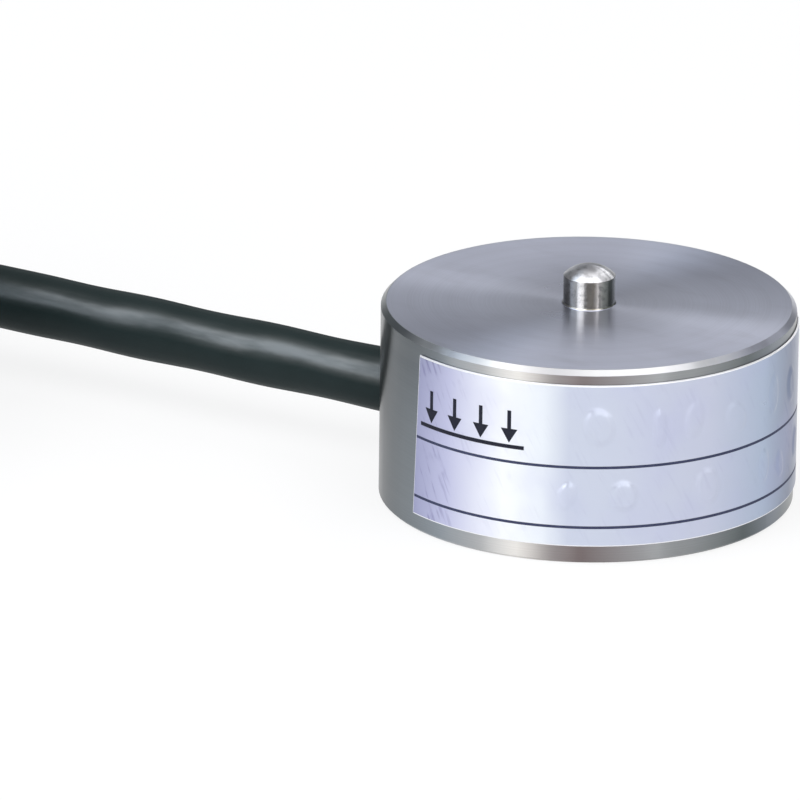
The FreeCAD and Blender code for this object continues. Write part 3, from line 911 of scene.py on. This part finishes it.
def coil_points():
    """The turns of the coil, each crossing to the next one's place late in its round."""
    reach = 1 / math.cos(math.pi / POINTS_PER_TURN)
    points = []
    for step in range(COIL_ACROSS * COIL_LAYERS * POINTS_PER_TURN - POINTS_LEFT_OFF + 1):
        number, left = divmod(step, POINTS_PER_TURN)
        share = smooth_step(left / POINTS_PER_TURN, *CROSSING)
        before = coil_ring(number)
        after = coil_ring(number + 1)
        radius = before[0] + (after[0] - before[0]) * share
        height = before[1] + (after[1] - before[1]) * share
        points.append(around_coil(radius * reach, COIL_START + step * 360 / POINTS_PER_TURN, height))
    return points


def cable_line():
    """The curve of the whole cable."""
    ends = [around_coil(*point) for point in CLIMB_ROUTE + END_ROUTE]
    points = [Vector(point) * MM for point in (*CABLE_ROUTE, *coil_points(), *ends)]
    curve = bpy.data.curves.new("cable_line", "CURVE")
    curve.dimensions = "3D"
    curve.resolution_u = PATH_STEPS
    spline = curve.splines.new("NURBS")
    spline.points.add(len(points) - 1)
    for knot, point in zip(spline.points, points):
        knot.co = (*point, 1)
    spline.order_u = 3
    spline.use_endpoint_u = True
    return curve


def mesh_of(piece):
    """The mesh that a curve object gives."""
    bpy.context.view_layer.update()
    shown = piece.evaluated_get(bpy.context.evaluated_depsgraph_get())
    return bpy.data.meshes.new_from_object(shown)


def swell_sheath(shape):
    """Presses the straight stretch into a slow twist, where two of the cores push the sheath out."""
    runs = [edge for edge in shape.edges
            if abs(edge.verts[0].co.x - edge.verts[1].co.x) > SWELL_RUN * MM
            and min(vert.co.x for vert in edge.verts) > SWELL_FADE[0] * MM]
    bmesh.ops.subdivide_edges(shape, edges=runs, cuts=SWELL_CUTS, use_grid_fill=True)
    middle = Vector(CABLE_EXIT) * MM
    start, start_turn = SWELL_START
    for vert in shape.verts:
        along = vert.co.x / MM
        share = SWELL * smooth_step(along, *SWELL_FADE)
        if share:
            off = vert.co - middle
            off.x = 0
            long_way = start_turn + SWELL_TURN * (along - start)
            vert.co += off * share * math.cos(2 * (math.atan2(off.z, off.y) - long_way))


def make_cable(sheath):
    """The cable as a tube along its line, and the points of that line."""
    curve = cable_line()
    line = link("cable_line", curve)
    path = [tuple(point.co) for point in mesh_of(line).vertices]
    curve.bevel_depth = CABLE_DIAMETER / 2 * MM
    curve.bevel_resolution = CABLE_SIDES
    shape = bmesh.new()
    shape.from_mesh(mesh_of(line))
    bpy.data.objects.remove(line)
    bmesh.ops.holes_fill(shape, edges=[edge for edge in shape.edges if edge.is_boundary])
    swell_sheath(shape)
    cable = finished(shape, "signal_cable", sheath)
    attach(cable, "root")
    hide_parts("cable", "cable_coil", "cable_end")
    return cable, path


def tie_strip(crown):
    """A strip's loop round the coil's section, flat at first: out of the coil is x, and up is y."""
    near, far = COIL_REACH[0] - TIE_PLAY, COIL_REACH[1] + TIE_PLAY
    low, high = TIE_THICKNESS, COIL_TOP + TIE_PLAY
    corners = ((near, low), (far, low), (far, high), *crown, (near, high))
    shape = bmesh.new()
    bends = [shape.verts.new((x * MM, y * MM, 0)) for x, y in corners]
    shape.faces.new(bends)
    bmesh.ops.bevel(
        shape, geom=bends, offset=TIE_BEND * MM, segments=TIE_BEND_STEPS,
        profile=0.5, affect="VERTICES", material=-1)
    band = bmesh.ops.inset_region(
        shape, faces=shape.faces[:], thickness=-TIE_THICKNESS * MM,
        use_boundary=True, use_even_offset=True)["faces"]
    window = [face for face in shape.faces if face not in band]
    bmesh.ops.delete(shape, geom=window, context="FACES_ONLY")
    thicken(shape, TIE_WIDTH * MM)
    edges = [edge for edge in shape.edges if edge.calc_face_angle() > EDGE_ANGLE]
    bmesh.ops.bevel(
        shape, geom=edges, offset=TIE_EDGE * MM, segments=EDGE_STEPS,
        profile=0.5, affect="EDGES", material=-1)
    return shape


def make_tie(node, name, degrees, crown, strip):
    """A coil tie as a strip round the coil's section, with soft bends and eased edges."""
    shape = tie_strip(crown)
    centred = Matrix.Translation((0, 0, -TIE_WIDTH / 2 * MM))
    upright = Matrix.Rotation(QUARTER_TURN, 4, "X") @ centred
    centre = Vector((*COIL_CENTRE, 0)) * MM
    turned = Matrix.Translation(centre) @ Matrix.Rotation(math.radians(degrees), 4, "Z")
    bmesh.ops.transform(shape, matrix=turned @ upright, verts=shape.verts)
    tie = finished(shape, name, strip)
    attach(tie, "root")
    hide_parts(node)
    return tie


def foil_height():
    """The foil's lower and upper edge."""
    low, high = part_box("nameplate")
    return low.z, high.z


def foil_radius():
    """The radius of the foil's outer face."""
    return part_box("nameplate")[1].x


def wrap(shape):
    """Rolls a flat shape, x along the foil and y up, with z off the foil, about the body."""
    outer = foil_radius()
    inner = outer - FOIL_THICKNESS
    for vert in shape.verts:
        along, height, off = vert.co
        turn = (along - FOIL_LENGTH / 2) / inner
        vert.co = ((outer + off) * math.cos(turn), (outer + off) * math.sin(turn), height)


def dent_rise(along, height):
    """How far the dents raise the foil's face at a place on it."""
    rise = 0.0
    for dent_along, dent_height, width, tall, depth, tilt in DENTS:
        turn = math.radians(tilt)
        x = along - dent_along
        y = height - dent_height
        across = (x * math.cos(turn) + y * math.sin(turn)) / width
        up = (y * math.cos(turn) - x * math.sin(turn)) / tall
        rise += depth * (1 - smooth_step(math.hypot(across, up), DENT_EDGE, 1))
    return rise


def ruled_sheet():
    """The foil laid flat, its ruled lines cut into it and one end slanted."""
    low, high = foil_height()
    shape = bmesh.new()
    bmesh.ops.create_grid(shape, x_segments=FOIL_COLUMNS, y_segments=FOIL_ROWS, size=0.5)
    bmesh.ops.scale(shape, vec=(FOIL_LENGTH, high - low, 1), verts=shape.verts)
    bmesh.ops.translate(shape, vec=(FOIL_LENGTH / 2, (low + high) / 2, 0), verts=shape.verts)
    cuts = [(Vector((0, height + side * RULE_WIDTH / 2, 0)), Vector((0, 1, 0)))
            for height in RULE_HEIGHTS for side in (-1, 1)]
    cuts.append((Vector((RULE_START, 0, 0)), Vector((1, 0, 0))))
    for place, normal in cuts:
        everything = shape.verts[:] + shape.edges[:] + shape.faces[:]
        bmesh.ops.bisect_plane(shape, geom=everything, plane_co=place, plane_no=normal)
    for face in shape.faces:
        middle = face.calc_center_median()
        ruled = any(abs(middle.y - height) < RULE_WIDTH / 2 for height in RULE_HEIGHTS)
        if ruled and middle.x > RULE_START:
            face.material_index = INK_SLOT
    for vert in shape.verts:
        nearness = 1 - min(vert.co.x / FOIL_SLANT_REACH, 1)
        vert.co.x += (vert.co.y - low) * math.tan(FOIL_SLANT) * nearness
    return shape


def make_nameplate(foil, ink, edge):
    """The foil with its two ruled lines, its dents and its cut edge, made near white as a painted
    highlight.
    """
    shape = ruled_sheet()
    thicken(shape, -FOIL_THICKNESS)
    middle = -FOIL_THICKNESS / 2
    for vert in shape.verts:
        if vert.co.z > middle:
            vert.co.z += dent_rise(vert.co.x / MM, vert.co.y / MM) * MM
    rim = [side for side in shape.edges
           if side.calc_face_angle() > EDGE_ANGLE and min(vert.co.z for vert in side.verts) > middle]
    cut = bmesh.ops.bevel(
        shape, geom=rim, offset=FOIL_EDGE, segments=EDGE_STEPS, profile=0.5, affect="EDGES", material=-1)
    # The bevelled edge gets the near-white finish: partly bare cut metal, partly a painted highlight
    for face in cut["faces"]:
        face.material_index = EDGE_SLOT
    wrap(shape)
    plate = finished(shape, "nameplate_foil", foil, ink, edge)
    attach(plate, "root")
    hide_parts("nameplate")


def make_load_sign(ink):
    """The printed sign: arrows in a row that press on a bar."""
    middle, middle_height = SIGN_CENTRE
    foot = middle_height - SIGN_HEIGHT / 2
    bar_top = foot + SIGN_STROKE
    tip = bar_top + SIGN_STROKE / 2
    width, height = ARROW_HEAD
    outline = (
        (0, tip),
        (width, tip + height),
        (SIGN_STROKE / 2, tip + height),
        (SIGN_STROKE / 2, foot + SIGN_HEIGHT),
        (-SIGN_STROKE / 2, foot + SIGN_HEIGHT),
        (-SIGN_STROKE / 2, tip + height),
        (-width, tip + height),
    )
    shape = bmesh.new()
    for index in range(SIGN_ARROWS):
        across = middle + SIGN_PITCH * (index - (SIGN_ARROWS - 1) / 2)
        shape.faces.new([shape.verts.new((across + x, y, 0)) for x, y in outline])
    bar = bmesh.ops.create_grid(shape, x_segments=SIGN_BAR_STEPS, y_segments=1, size=0.5)["verts"]
    bmesh.ops.scale(shape, vec=(SIGN_PITCH * SIGN_ARROWS, SIGN_STROKE, 1), verts=bar)
    bmesh.ops.translate(shape, vec=(middle, foot + SIGN_STROKE / 2, 0), verts=bar)
    thicken(shape, INK_HEIGHT)
    wrap(shape)
    sign = finished(shape, "load_sign", ink)
    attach(sign, "root")


bpy.context.scene.view_settings.view_transform = "Standard"
make_camera()
make_world()
make_lights()
make_floor()
dress_cad()
cable, cable_path = make_cable(sheath_finish())
strip = tie_finish()
end_crown = [(reach, END_TIE_RISE) for reach in reversed(END_TIE_REACH)]
end_tie = make_tie("coil_tie_1", "coil_strip_1", END_TIE_ANGLE, end_crown, strip)
plain_tie = make_tie("coil_tie_2", "coil_strip_2", PLAIN_TIE_ANGLE, (), strip)
let_past("left_softbox", cable, end_tie, plain_tie)
cut_edge_painted_glint = plain_finish("foil_edge_painted_glint", *FOIL_EDGE_AND_PAINTED_GLINT)
make_nameplate(foil_finish(), ink_finish("rule_ink", RULE_INK), cut_edge_painted_glint)
make_load_sign(ink_finish("sign_ink", SIGN_INK))
